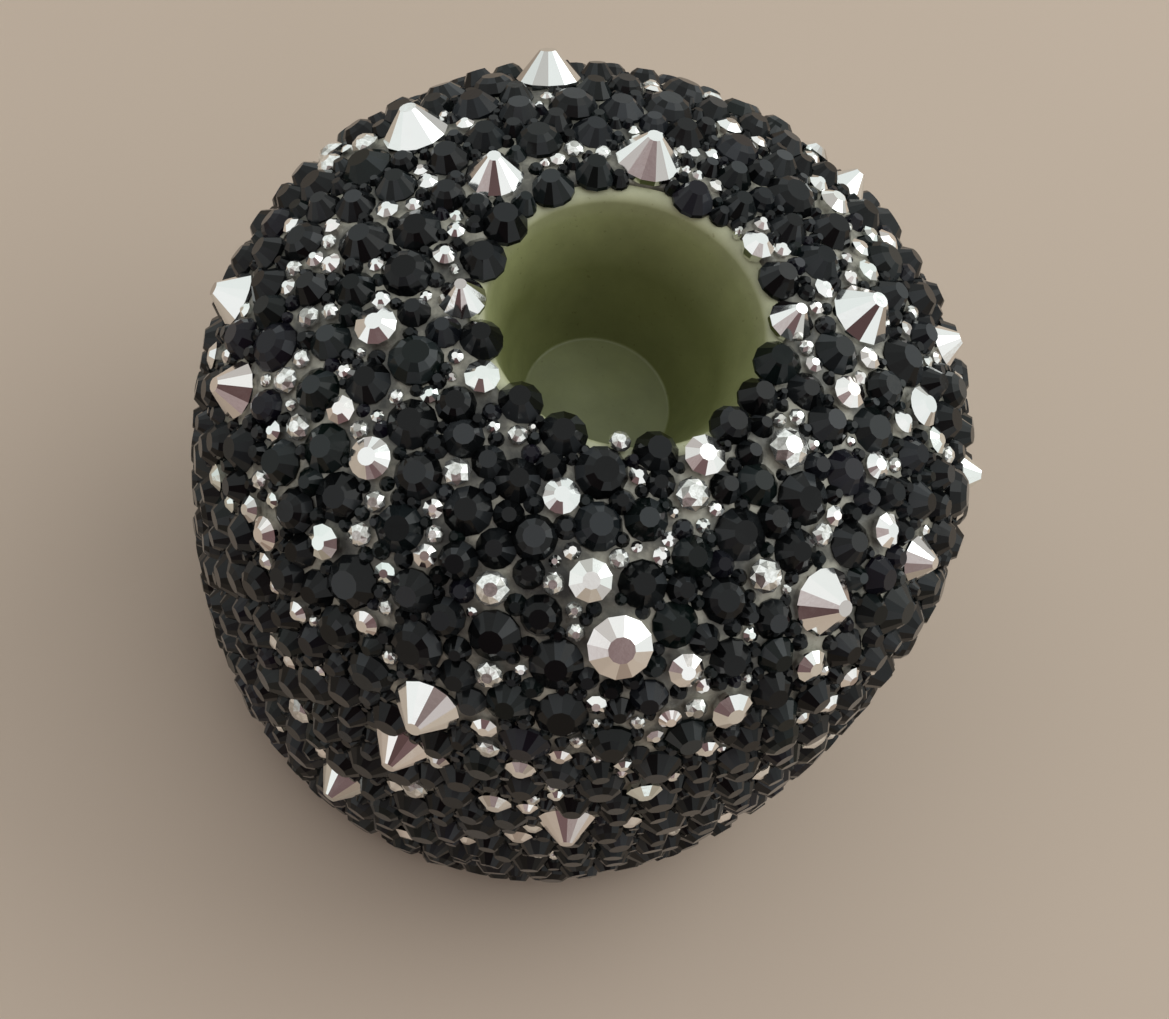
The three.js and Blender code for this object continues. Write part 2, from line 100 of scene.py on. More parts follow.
# Setting of the stones
ROW_COUNT = 10
STONE_FOOT = 0.65 * MM  # height of their feet above the ceramic
SMALL_SLENDERNESS = 0.42  # height of a small stone above the glue, in diameters
STONE_GAP = 0.1 * MM
SILVER_TUCK = 0.35 * MM  # how far a black stone may reach under the edge of a small or silver one
LEAST_JET = 4.2 * MM  # black stones make way for small ones down to this diameter,
LEAST_SHARE = 0.66  # and a small one that would keep less of its diameter is left out
JET_GROWTH = 1.08  # most that a black stone is widened into the room around it,
JET_TUCK = 0.25 * MM  # and how far it may then overlap the next black one
MOST_TILT = math.radians(9)

# Stones round the mouth, which reach further over its edge than those of the solid
RIM_OVERHANG = 3.7 * MM  # how far stones may reach over the lip
RIM_BAND = 2.6 * MM  # black stones whose middles are nearer to the lip than this are pulled over it
RIM_PULL = 2.1 * MM
RIM_BACK = 1.1  # share of the pull is this less the sine of the azimuth, and at most 1

# Cuts of the stones, one unit across and one unit high: the number of sides, the height of the
# girdle, and tiers, each with its upper diameter, the height at which it ends and its turn in facets
CUTS = {
    "jet": [
        (12, 0.2, [(0.46, 1, 0)]),
        (14, 0.18, [(0.42, 1, 0)]),
        (11, 0.22, [(0.52, 1, 0)]),
        (12, 0.2, [(0.76, 0.74, 0), (0.48, 1, 0)]),
    ],
    "cone": [
        (14, 0.16, [(0.24, 1, 0)]),
        (12, 0.18, [(0.26, 1, 0)]),
        (16, 0.15, [(0.25, 1, 0)]),
    ],
    "tabled": [
        (16, 0.6, [(0.43, 1, 0)]),
        (10, 0.62, [(0.41, 1, 0)]),
        (12, 0.6, [(0.42, 1, 0)]),
    ],
    "silver": [
        (8, 0.64, [(0.46, 1, 0)]),
        (9, 0.62, [(0.42, 1, 0)]),
    ],
    "crystal": [
        (8, 0.5, [(0.8, 0.76, 0.5), (0.44, 1, 0.5)]),
        (10, 0.52, [(0.82, 0.75, 0.5), (0.4, 1, 0.5)]),
    ],
}
NARROW_CUTS = ("tabled", "silver", "crystal")
NARROW_FOOT = 0.76  # width of the foot of a narrow cut
LEVEL_FACE = 0.9  # upward or downward share of the normal of a level face

# Pieces of each row of stones: name, cuts and slot
ROW_PIECES = (
    ("black_row", ("jet",), "black_stone"),
    ("silver_row", ("cone", "tabled", "silver"), "silver_stone"),
    ("crystal_row", ("crystal",), "silver_stone"),
)

# Camera, found from the outline of the crust and the ellipses of the mouth and the cup floor
PICTURE_WIDTH = 1169  # in pixels
PICTURE_HEIGHT = 1019
LENS = 73.9  # in millimetres, like the width of the sensor
SENSOR = 36
EYE_DISTANCE = 383.5 * MM
EYE_ELEVATION = math.radians(61.17)
EYE_TURN_HEIGHT = 52 * MM  # the eye's distance and elevation are taken from here
AIM = Vector((4.27, 0, 45.7)) * MM
ROLL = math.radians(21.58)
CAMERA_CLIP = 10 * MM
RAY_START = 0.5 * EYE_DISTANCE  # part of a camera ray in which the body is looked for
RAY_END = 1.5 * EYE_DISTANCE
RAY_SAMPLES = 1600
SEEN_LIFT = 1.8 * MM  # height above the ceramic at which small stones are seen

# Stones read off the picture: pixel across, pixel down, diameter in millimetres
SMALL_TABLES = [
    (731, 134, 4.2), (247, 519, 4.6), (216, 471, 4.2), (898, 433, 4.4), (873, 439, 4.0),
    (940, 461, 4.2), (823, 180, 4.0), (888, 252, 4.2), (519, 766, 4.6), (303, 619, 4.2),
    (346, 625, 4.0), (426, 562, 4.0), (958, 512, 4.0), (957, 385, 4.0), (808, 757, 4.0),
    (852, 676, 3.8), (446, 256, 4.0), (301, 252, 3.8), (342, 255, 3.6), (682, 732, 4.0),
    (629, 820, 4.0), (722, 816, 4.0), (529, 804, 4.0), (448, 768, 4.4), (406, 831, 4.4),
    (518, 834, 4.4),
]
SMALL_SILVER = [
    (638, 135, 2.6), (660, 136, 2.2), (678, 149, 2.4), (691, 146, 2.6), (684, 167, 2.2),
    (697, 181, 2.6), (716, 184, 2.4), (553, 152, 3.0), (545, 161, 2.2), (563, 99, 2.0),
    (595, 76, 2.2), (637, 79, 1.8), (666, 83, 2.2), (441, 91, 2.4), (455, 111, 2.4),
    (465, 122, 2.8), (352, 139, 2.2), (435, 163, 2.4), (417, 182, 3.2), (389, 203, 3.4),
    (454, 211, 2.8), (456, 229, 3.4), (284, 223, 3.0), (314, 234, 3.4), (439, 272, 2.4),
    (430, 280, 1.8), (420, 287, 1.8), (380, 253, 2.4), (285, 282, 3.0), (384, 289, 3.6),
    (247, 309, 3.0), (226, 353, 2.4), (361, 382, 2.2), (423, 401, 2.6), (354, 412, 4.2),
    (273, 437, 3.0), (228, 506, 3.0), (434, 508, 2.8), (273, 588, 2.4), (373, 580, 3.0),
    (493, 425, 2.0), (538, 429, 2.2), (633, 467, 2.8), (672, 512, 2.4), (721, 513, 2.4),
    (674, 542, 2.2), (658, 561, 2.6), (548, 560, 3.0), (572, 557, 3.3), (693, 677, 3.2),
    (755, 634, 2.4), (475, 616, 1.6), (570, 721, 3.0), (657, 738, 2.6), (706, 749, 3.6),
    (802, 720, 2.6), (489, 732, 3.8), (539, 752, 3.4), (631, 767, 2.8), (675, 777, 2.6),
    (551, 791, 2.6), (563, 800, 3.4), (761, 773, 3.6), (553, 853, 3.0), (661, 851, 3.0),
    (692, 849, 3.6), (743, 213, 2.4), (759, 222, 3.4), (778, 244, 3.4), (825, 283, 3.4),
    (843, 278, 3.2), (809, 311, 3.0), (826, 349, 3.6), (846, 357, 3.0), (863, 368, 3.6),
    (853, 208, 2.6), (840, 233, 3.4), (873, 232, 3.0), (908, 327, 2.4), (931, 360, 2.0),
    (809, 434, 2.8), (822, 512, 3.0), (926, 526, 2.4), (877, 671, 2.6), (289, 662, 3.0),
    (267, 639, 3.0), (333, 758, 3.0), (247, 660, 3.2), (598, 761, 1.8), (464, 839, 3.0),
    (318, 672, 2.2), (279, 727, 2.8), (353, 797, 3.2), (445, 864, 3.0),
]
SMALL_CRYSTALS = [
    (323, 160, 4.8), (289, 387, 4.4), (522, 429, 3.6), (460, 489, 4.2), (615, 446, 3.2), (625, 564, 3.0),
    (562, 579, 4.0), (582, 588, 3.6), (576, 616, 3.4), (589, 622, 2.0), (488, 663, 4.0),
    (603, 148, 2.6), (652, 83, 2.8), (332, 237, 3.2), (290, 265, 3.8), (313, 313, 4.2),
    (326, 327, 3.4), (310, 349, 3.4), (364, 346, 2.4), (396, 403, 2.4), (350, 433, 3.6),
    (359, 534, 3.6), (419, 533, 3.4), (447, 272, 2.6), (777, 415, 3.0), (795, 417, 3.4),
    (806, 527, 3.4), (809, 332, 3.4), (708, 716, 4.6), (513, 744, 3.8), (416, 787, 4.4),
    (530, 803, 3.2), (393, 657, 2.4), (318, 627, 2.6), (750, 226, 2.4), (673, 833, 2.6),
]

# Scatter repeated where the picture shows none: its turn in radians, its drop and how far it keeps
# off the base
LOWER_TURN = 1.1
LOWER_DROP = 56 * MM
LOWER_EDGE = 5 * MM

# Small stones that fill the gaps: their sizes, how far black ones reach under the edges of black
# neighbours, and the shares of silver and crystal ones near to a silver stone and far from it
FILL_LARGEST = 5.8 * MM
FILL_SMALLEST = 1.4 * MM  # of the silver and crystal ones, and of thinned stones
LEAST_FILL = 2.0 * MM  # of the black ones
FILL_TUCK = 1.0 * MM
FILL_NEAR_SILVER = 5 * MM
SILVER_SHARE_NEAR = 0.2
SILVER_SHARE_FAR = 0.03
CRYSTAL_SHARE_NEAR = 0.12
CRYSTAL_SHARE_FAR = 0.02
GAP_SAMPLES = 60000

# Settling: how far a stone may be pushed from its place, by its kind
JET_LEASH = 0.9 * MM
READ_LEASH = 3 * MM
FREE_LEASH = 2 * MM  # stones with this leash or a longer one yield fully
LEAST_YIELD = 0.02
PUSH_STEPS = 160
PUSH_STRENGTH = 0.45
ANGLE_DIGITS = 6  # rounding keeps the layout the same on every machine
LENGTH_DIGITS = 8

# Looks: stops of colour ramps, and noises with their scales per metre
JET_TONES = [
    (0.0, (0.0016, 0.0019, 0.0022)), (0.6, (0.0030, 0.0034, 0.0038)),
    (0.85, (0.0024, 0.0055, 0.0048)), (1.0, (0.0060, 0.0045, 0.0095)),
]
# Random facets of the black stones lightened to grey: painted glints
JET_FACET_GLINTS = [
    (0.0, (0, 0, 0)), (0.45, (0.001, 0.001, 0.001)), (0.75, (0.010, 0.0115, 0.0125)),
    (1.0, (0.034, 0.037, 0.040)),
]
JET_SPECULAR = 0.22
JET_WEAR = dict(scale=420, gloss=(0.04, 0.16), strength=0.12, depth=0.05 * MM)
SILVER_TINTS = [
    (0.0, (0.86, 0.88, 0.87)), (0.5, (0.92, 0.92, 0.91)),
    (0.8, (0.92, 0.885, 0.865)), (1.0, (0.84, 0.91, 0.88)),
]
# A share of the silver facets dimmed and tinted brownish: painted reflections of the floor and the room
SILVER_FACET_REFLECTIONS = [(0.0, (0.60, 0.54, 0.53)), (0.16, (0.66, 0.64, 0.62)), (0.22, (1, 1, 1))]
SILVER_METALLIC = 1.0
SILVER_WEAR = dict(scale=600, gloss=(0.04, 0.14), strength=0.1, depth=0.05 * MM)
CRYSTAL_FACETS = [(0.0, (0.30, 0.29, 0.27)), (0.3, (0.62, 0.62, 0.59)), (0.55, (0.97, 0.98, 0.96))]
CRYSTAL_FLAWS = [(0.35, (0.7, 0.7, 0.68)), (0.6, (1, 1, 1))]
CRYSTAL_GRAIN = dict(scale=1500, detail=2)
CRYSTAL_METALLIC = 0.85
CRYSTAL_COAT = 1.0
CRYSTAL_COAT_ROUGHNESS = 0.03
CRYSTAL_WEAR = dict(scale=800, gloss=(0.06, 0.2), strength=0.15, depth=0.08 * MM)
# Glue colour from nearly black to light grey: grey glue, with dark patches that are painted shade for
# the gaps between the stones
GLUE_AND_GAP_SHADE = [
    (0.34, (0.03, 0.03, 0.026)), (0.48, (0.125, 0.12, 0.10)), (0.62, (0.36, 0.345, 0.285)),
]
GLUE_PATCHES = dict(scale=160, detail=6, roughness=0.6)
GLUE_WEAR = dict(scale=500, gloss=(0.22, 0.55), strength=0.4, depth=0.15 * MM)
# Glaze by height in the cup: pale on the lip, where it is thin; the lighter upper wall and the dark
# lower cup are painted light and shade
GLAZE_AND_CUP_SHADE = [
    (0.0, (0.15, 0.165, 0.06)), (0.06, (0.15, 0.163, 0.06)), (0.5, (0.15, 0.163, 0.058)),
    (0.85, (0.275, 0.29, 0.13)), (0.95, (0.37, 0.38, 0.205)), (1.0, (0.45, 0.455, 0.30)),
]
GLAZE_DRIFT = [(0.32, (0.80, 0.80, 0.78)), (0.68, (1.1, 1.1, 1.1))]
GLAZE_CLOUDS = dict(scale=90, detail=6, roughness=0.65)
GLAZE_SPECKLES = [(0.26, (0.55, 0.5, 0.38)), (0.34, (1, 1, 1))]
GLAZE_SPECKS = dict(scale=1300, detail=3)
SPECKLE_STRENGTH = 0.6
GLAZE_WEAR = dict(scale=120, gloss=(0.36, 0.56), strength=0.3, depth=0.15 * MM)
CLAY_COLOUR = (0.60, 0.53, 0.44)
CLAY_TOP = 0.4 * FOOT_HEIGHT  # the foot is bare clay up to here
GLAZE_START = 0.7 * FOOT_HEIGHT  # and glazed from here
FLOOR_COLOURS = [(0.3, (0.485, 0.39, 0.31)), (0.7, (0.54, 0.435, 0.35))]
FLOOR_DRIFT = dict(scale=3, detail=3)
FLOOR_ROUGHNESS = 0.7
HAZE_DETAIL = 5
GRAIN_DETAIL = 2
GRAIN_PER_HAZE = 2.5  # scale of the grain of a surface in scales of its haze
NOISE_RANGE = (0.3, 0.7)  # what a noise mostly lies between
RAMP_MIDDLE = 0.5  # where a new stop starts, before it gets its own place
MIX_FACTOR = 0  # sockets of a mix of two colours
MIX_FIRST = 6
MIX_SECOND = 7
MIX_RESULT = 2

# Stage: a floor, a soft window, and a bright room that is dim and brownish beside the camera
FLOOR_SIZE = 4.0
WINDOW_PLACE = Vector((0.75, 0.6, 1.0))
WINDOW_SIZE = 1.2
WINDOW_ENERGY = 5.0
WINDOW_COLOUR = (0.97, 1.0, 0.98)
DIM_ELEVATION = math.radians(30)
ROOM_COLOURS = [
    (0.0, (0.86, 0.90, 0.88)), (0.76, (0.95, 0.96, 0.95)),
    (0.86, (0.42, 0.34, 0.33)), (0.92, (0.16, 0.10, 0.10)),
]

rng = np.random.default_rng(SEED)


# The outside of the body

def body_arc(end_radius, end_rise, fullness):
    """Part of a superellipse about the axis, from the belly to a given radius and rise."""
    end_share = (end_radius / BODY_RADIUS) ** fullness
    power = 2 / fullness
    rise = end_rise / (1 - end_share) ** (1 / fullness)
    turn = np.linspace(0, math.acos(math.sqrt(end_share)), OUTLINE_SAMPLES)
    return BODY_RADIUS * np.cos(turn) ** power, BELLY_HEIGHT + rise * np.sin(turn) ** power


def body_outline():
    """Radius and height of the outside, from the lip down to the base, and the distance along it."""
    shoulder = body_arc(LIP_RADIUS, BODY_HEIGHT - BELLY_HEIGHT, SHOULDER_FULLNESS)
    flank = body_arc(BASE_RADIUS, FOOT_HEIGHT - BELLY_HEIGHT, FLANK_FULLNESS)
    radius = np.concatenate([shoulder[0][::-1], flank[0][1:]])
    height = np.concatenate([shoulder[1][::-1], flank[1][1:]])
    steps = np.hypot(np.diff(radius), np.diff(height))
    return radius, height, np.concatenate([[0], np.cumsum(steps)])


OUTLINE_RADIUS, OUTLINE_HEIGHT, OUTLINE_DISTANCE = body_outline()
OUTLINE_LENGTH = OUTLINE_DISTANCE[-1]
OUTWARD_RUN = np.gradient(OUTLINE_RADIUS, OUTLINE_DISTANCE)
OUTWARD_FALL = np.gradient(OUTLINE_HEIGHT, OUTLINE_DISTANCE)


def along(values, distance):
    """Values of the outline at a distance down it."""
    return np.interp(distance, OUTLINE_DISTANCE, values)


def outline_point(distance, lift=0.0):
    """Radius and height at a distance down the outline, lifted off the surface. Short of its
    start, on the lip, the outline goes on level."""
    on_lip = np.minimum(distance, 0)
    radius = along(OUTLINE_RADIUS, distance) + on_lip - lift * along(OUTWARD_FALL, distance)
    height = along(OUTLINE_HEIGHT, distance) + lift * along(OUTWARD_RUN, distance)
    return radius, height


def body_points(azimuth, distance, lift=0.0):
    """Points of the body at an azimuth and a distance down its outline, lifted off the surface."""
    radius, height = outline_point(distance, lift)
    return np.stack([radius * np.cos(azimuth), radius * np.sin(azimuth), height], axis=-1)


def body_directions(azimuth, distance):
    """Directions around the body, down its outline and out of its surface."""
    run = along(OUTWARD_RUN, distance)
    fall = along(OUTWARD_FALL, distance)
    cosine, sine = np.cos(azimuth), np.sin(azimuth)
    around = np.stack([-sine, cosine, np.zeros_like(cosine)], axis=-1)
    down = np.stack([run * cosine, run * sine, fall], axis=-1)
    outward = np.stack([-fall * cosine, -fall * sine, run], axis=-1)
    return around, down, outward


def nearest_distance(radius, height):
    """Distance down the outline of the point nearest to a radius and height."""
    return OUTLINE_DISTANCE[np.argmin(np.hypot(OUTLINE_RADIUS - radius, OUTLINE_HEIGHT - height))]


# Camera

EYE = Vector((0, -math.cos(EYE_ELEVATION), math.sin(EYE_ELEVATION))) * EYE_DISTANCE
EYE.z += EYE_TURN_HEIGHT
EYE_ROTATION = (AIM - EYE).to_track_quat("-Z", "Y") @ Quaternion((0, 0, 1), ROLL)


def add_camera():
    camera = bpy.data.objects.new("camera", bpy.data.cameras.new("camera"))
    camera.data.lens = LENS
    camera.data.sensor_width = SENSOR
    camera.data.clip_start = CAMERA_CLIP
    camera.location = EYE
    camera.rotation_mode = "QUATERNION"
    camera.rotation_quaternion = EYE_ROTATION
    bpy.context.scene.collection.objects.link(camera)
    bpy.context.scene.camera = camera


def seen_place(across, down, lift):
    """Azimuth and distance on the body of what shows at a pixel, at a height above the surface."""
    pixels_per_slope = LENS / SENSOR * PICTURE_WIDTH
    ray = EYE_ROTATION @ Vector((
        (across - PICTURE_WIDTH / 2) / pixels_per_slope,
        (PICTURE_HEIGHT / 2 - down) / pixels_per_slope,
        -1,
    ))
    ray = np.array(ray.normalized())
    reach = np.linspace(RAY_START, RAY_END, RAY_SAMPLES)
    points = np.array(EYE) + reach[:, None] * ray
    from_axis = np.hypot(points[:, 0], points[:, 1])
    shell_radius, shell_height = outline_point(OUTLINE_DISTANCE, lift)
    shell = np.interp(points[:, 2], shell_height[::-1], shell_radius[::-1])
    off_shell = np.where(points[:, 2] < shell_height[0], from_axis - shell, math.inf)
    hit = int(np.argmax(off_shell < 0)) if (off_shell < 0).any() else int(np.argmin(off_shell))
    point = points[hit]
    return math.atan2(point[1], point[0]), nearest_distance(from_axis[hit], point[2])


# Where the stones sit

@dataclass
class Stone:
    """A stone: its place on the body, its diameter and cut, the height of its foot above the ceramic
    and its own height, how far it may be pushed from its place, and the node that it comes from."""
    azimuth: float
    distance: float
    diameter: float
    cut: str
    foot: float
    height: float
    leash: float
    node: str = ""


def node_points(node):
    """Corners of a solid, in the shared frame."""
    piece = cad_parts[node]
    return np.array([piece.matrix_world @ vertex.co for vertex in piece.data.vertices])


def place_of(point):
    """Azimuth and distance down the outline of the place on the body nearest to a point."""
    distance = nearest_distance(math.hypot(point[0], point[1]), point[2])
    return math.atan2(point[1], point[0]), distance


def lifts_of(points, azimuth, distance):
    """Heights of points above the surface at a place, and how far they are from its axis."""
    outward = body_directions(azimuth, distance)[2]
    arms = points - body_points(azimuth, distance)
    lifts = arms @ outward
    return lifts, np.linalg.norm(arms - lifts[:, None] * outward, axis=1)


def silver_of_node(node):
    """The silver stone of a node, with its place, size and height."""
    points = node_points(node)
    azimuth, distance = place_of(points.mean(axis=0))
    lifts, reaches = lifts_of(points, azimuth, distance)
    low, high = float(lifts.min()), float(lifts.max())
    diameter = 2 * float(reaches.max())
    cut = "cone" if (high - low) / diameter > CONE_SLENDERNESS else "tabled"
    if node in CRYSTAL_NODES:
        cut = "crystal"
    foot = low - SILVER_SINK
    return Stone(azimuth, distance, diameter, cut, foot, high - foot, 0.0, node)


def tables_of_node(node):
    """Corners of each flat table of the black stones in a row."""
    points = node_points(node)
    tables = []
    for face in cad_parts[node].data.polygons:
        corners = points[list(face.vertices)]
        middle = corners.mean(axis=0)
        azimuth, distance = place_of(middle)
        lift = lifts_of(middle[None, :], azimuth, distance)[0][0]
        if abs(lift - TABLE_LEVEL) > TABLE_BAND:
            continue
        for table in tables:
            if np.linalg.norm(table[0] - middle) < TABLE_SPACING:
                table[1] = np.concatenate([table[1], corners])
                break
        else:
            tables.append([middle, corners])
    return [corners for _, corners in tables]


def jets_of_node(node):
    """The black stones of a row, one under each table."""
    stones = []
    for corners in tables_of_node(node):
        corners = np.unique(np.round(corners, POINT_DIGITS), axis=0)
        middle = corners.mean(axis=0)
        table = 2 * np.linalg.norm(corners - middle, axis=1).max()
        diameter = STONE_PER_TABLE * float(table) * (1 - rng.random() * JET_VARIETY)
        top = TABLE_LEVEL - rng.random() * JET_UNEVENNESS
        azimuth, distance = place_of(middle)
        if distance < RIM_BAND:
            # The stones round the mouth reach over its edge, those at the back of it the least.
            distance -= RIM_PULL * min(1, RIM_BACK - math.sin(azimuth))
        stones.append(Stone(azimuth, distance, diameter, "jet", STONE_FOOT, top - STONE_FOOT,
                            JET_LEASH, node))
    return stones


def small_stone(azimuth, distance, diameter, cut):
    """A stone that comes from no node, as high as its diameter asks for."""
    height = SMALL_SLENDERNESS * diameter + GLUE_TOP - STONE_FOOT
    return Stone(azimuth, distance, diameter, cut, STONE_FOOT, height, READ_LEASH)


def seen_stones(readings, cut):
    stones = []
    for across, down, diameter in readings:
        azimuth, distance = seen_place(across, down, SEEN_LIFT)
        stones.append(small_stone(azimuth, distance, diameter * MM, cut))
    return stones


def hidden_from_camera(stone):
    point = body_points(stone.azimuth, stone.distance)
    outward = body_directions(stone.azimuth, stone.distance)[2]
    return float(np.dot(outward, np.array(EYE) - point)) < 0


def hidden_copies(stones):
    """The small scatter repeated on the far side and lower down, where the picture shows none."""
    copies = [replace(stone, azimuth=stone.azimuth + math.pi) for stone in stones]
    for turn in (LOWER_TURN, LOWER_TURN + math.pi):
        copies += [replace(stone, azimuth=stone.azimuth + turn, distance=stone.distance + LOWER_DROP)
                   for stone in stones if stone.distance + LOWER_DROP < OUTLINE_LENGTH - LOWER_EDGE]
    return [copy for copy in copies if hidden_from_camera(copy)]


def random_places(count):
    """Places spread evenly over the surface."""
    bands = (OUTLINE_RADIUS[:-1] + OUTLINE_RADIUS[1:]) / 2 * np.diff(OUTLINE_DISTANCE)
    areas = np.concatenate([[0], np.cumsum(bands)])
    distance = np.interp(rng.random(count) * areas[-1], areas, OUTLINE_DISTANCE)
    return rng.random(count) * 2 * math.pi, distance


def overlapping_pairs(points, radius):
    """Pairs of stones that overlap, the direction between them and the depth of the overlap."""
    squares = sum((points[:, None, axis] - points[None, :, axis]) ** 2 for axis in range(3))
    reach = radius[:, None] + radius[None, :]
    first, second = np.nonzero(np.triu(squares < reach ** 2, 1))
    between = points[second] - points[first]
    length = np.maximum(np.linalg.norm(between, axis=1), TINY)
    return first, second, between / length[:, None], radius[first] + radius[second] - length


def settle(stones):
    """Pushes overlapping stones apart along the surface, each no further than its leash. The small
    ones that were read may keep an overlap."""
    azimuth = np.array([s.azimuth for s in stones])
    distance = np.array([s.distance for s in stones])
    leash = np.array([s.leash for s in stones])
    radius = np.array([s.diameter / 2 for s in stones]) + STONE_GAP / 2
    radius = radius - np.where(leash == READ_LEASH, SILVER_TUCK, 0)
    yields = np.minimum(leash / FREE_LEASH, 1) + LEAST_YIELD
    home_azimuth, home_distance = azimuth.copy(), distance.copy()
    for _ in range(PUSH_STEPS):
        points = body_points(azimuth, distance)
        first, second, direction, depth = overlapping_pairs(points, radius)
        both = yields[first] + yields[second]
        push = np.zeros_like(points)
        np.add.at(push, first, -direction * (depth * yields[first] / both)[:, None])
        np.add.at(push, second, direction * (depth * yields[second] / both)[:, None])
        around, down, _ = body_directions(azimuth, distance)
        turn_leash = leash / along(OUTLINE_RADIUS, distance)
        turn = PUSH_STRENGTH * np.sum(push * around, axis=1) / along(OUTLINE_RADIUS, distance)
        slide = PUSH_STRENGTH * np.sum(push * down, axis=1)
        azimuth = np.clip(azimuth + turn, home_azimuth - turn_leash, home_azimuth + turn_leash)
        distance = np.clip(distance + slide, home_distance - leash, home_distance + leash)
        low, high = radius - RIM_OVERHANG, OUTLINE_LENGTH - radius
        distance = np.where(leash > 0, np.clip(distance, low, high), distance)
        azimuth, distance = np.round(azimuth, ANGLE_DIGITS), np.round(distance, LENGTH_DIGITS)
    for stone, new_azimuth, new_distance in zip(stones, azimuth, distance):
        stone.azimuth, stone.distance = float(new_azimuth), float(new_distance)


def trim_overlaps(stones):
    """Thins overlapping stones, the deepest overlaps first. Black ones make way for small ones down
    to a least size and may reach a little under their edges, and a small one that would have to
    shrink too far is left out."""
    points = np.array([body_points(s.azimuth, s.distance) for s in stones])
    radius = np.array([s.diameter / 2 for s in stones])
    first, second, _, depth = overlapping_pairs(points, radius + STONE_GAP / 2)
    gone = set()
    for one, other, _ in sorted(zip(first, second, depth), key=lambda pair: -pair[2]):
        mixed = {stones[one].leash, stones[other].leash} == {JET_LEASH, READ_LEASH}
        spacing = -SILVER_TUCK if mixed else STONE_GAP
        overlap = radius[one] + radius[other] + spacing - np.linalg.norm(points[one] - points[other])
        if overlap <= 0 or one in gone or other in gone:
            continue
        tight, loose = sorted((one, other), key=lambda index: stones[index].leash)
        if stones[tight].leash == stones[loose].leash:
            radius[[one, other]] -= overlap / 2
            continue
        if stones[tight].cut == "jet":
            taken = min(overlap, max(radius[tight] - LEAST_JET / 2, 0))
            radius[tight] -= taken
            overlap -= taken
        radius[loose] -= overlap
        if stones[loose].cut != "jet" and radius[loose] < LEAST_SHARE * stones[loose].diameter / 2:
            gone.add(loose)
    for stone, half in zip(stones, radius):
        stone.diameter = float(2 * half)
    kept = [stone for index, stone in enumerate(stones) if index not in gone]
    return [stone for stone in kept if stone.diameter > FILL_SMALLEST]


def grow_jets(stones):
    """Widens black stones into the room around them, up to a share of their size."""
    points = np.array([body_points(s.azimuth, s.distance) for s in stones])
    tucks = [JET_TUCK if stone.cut == "jet" else 0 for stone in stones]
    for index, stone in enumerate(stones):
        if stone.cut != "jet":
            continue
        gaps = np.linalg.norm(points - points[index], axis=1)
        gaps -= np.array([other.diameter / 2 - tuck for other, tuck in zip(stones, tucks)])
        gaps[index] = math.inf
        room = min(float(gaps.min()), stone.distance + RIM_OVERHANG)
        stone.diameter = max(stone.diameter, min(2 * room, JET_GROWTH * stone.diameter))


def room_beside(room, gaps, cut, diameter, tuck):
    """Radius that black stones can still have at all places, beside one more stone."""
    reach = diameter / 2 - (tuck if cut == "jet" else SILVER_TUCK)
    return np.minimum(room, gaps - reach)


def fill_gaps(stones):
    """Small stones in the gaps that are left, the largest gaps first."""
    azimuth, distance = random_places(GAP_SAMPLES)
    points = body_points(azimuth, distance)
    room = np.minimum(distance + RIM_OVERHANG, OUTLINE_LENGTH - distance)
    for stone in stones:
        gaps = np.linalg.norm(points - body_points(stone.azimuth, stone.distance), axis=1)
        room = room_beside(room, gaps, stone.cut, stone.diameter, FILL_TUCK)
    silver = np.array([body_points(s.azimuth, s.distance) for s in stones if s.cut != "jet"])
    added = []
    while 2 * room.max() > LEAST_FILL:
        best = int(np.argmax(room))
        open_width = 2 * (float(room[best]) - FILL_TUCK)
        near = np.linalg.norm(silver - points[best], axis=1).min() < FILL_NEAR_SILVER
        silver_share = SILVER_SHARE_NEAR if near else SILVER_SHARE_FAR
        crystal_share = CRYSTAL_SHARE_NEAR if near else CRYSTAL_SHARE_FAR
        draw = rng.random()
        cut = "jet"
        diameter = min(2 * float(room[best]), FILL_LARGEST)
        if draw < silver_share + crystal_share and open_width > FILL_SMALLEST:
            cut = "silver" if draw < silver_share else "crystal"
            diameter = min(open_width, FILL_LARGEST)
        added.append(small_stone(float(azimuth[best]), float(distance[best]), diameter, cut))
        gaps = np.linalg.norm(points - points[best], axis=1)
        room = room_beside(room, gaps, cut, diameter, FILL_TUCK / 2)
    return added


def lay_out_stones():
    """All stones: those of the solids, the small ones that were read and their copies, and fillers."""
    nodes = sorted(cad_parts)
    silver = [silver_of_node(node) for node in nodes if node.startswith("silver_stone")]
    jets = [jet for node in nodes if node.startswith("stone_row") for jet in jets_of_node(node)]
    read = (seen_stones(SMALL_TABLES, "tabled") + seen_stones(SMALL_SILVER, "silver")
            + seen_stones(SMALL_CRYSTALS, "crystal"))
    stones = silver + jets + read + hidden_copies(read)
    settle(stones)
    stones = trim_overlaps(stones)
    grow_jets(stones)
    return stones + fill_gaps(stones)


# Modelling helpers

def deselect_all():
    """Leaves edit mode, with nothing selected."""
    if bpy.context.mode != "OBJECT":
        bpy.ops.object.mode_set(mode="OBJECT")
    bpy.ops.object.select_all(action="DESELECT")


def select_faces(piece, wanted):
    """Selects the faces of the piece in edit mode that pass a test."""
    mesh = bmesh.from_edit_mesh(piece.data)
    for face in mesh.faces:
        face.select = wanted(face)
    mesh.select_flush_mode()
    bmesh.update_edit_mesh(piece.data)


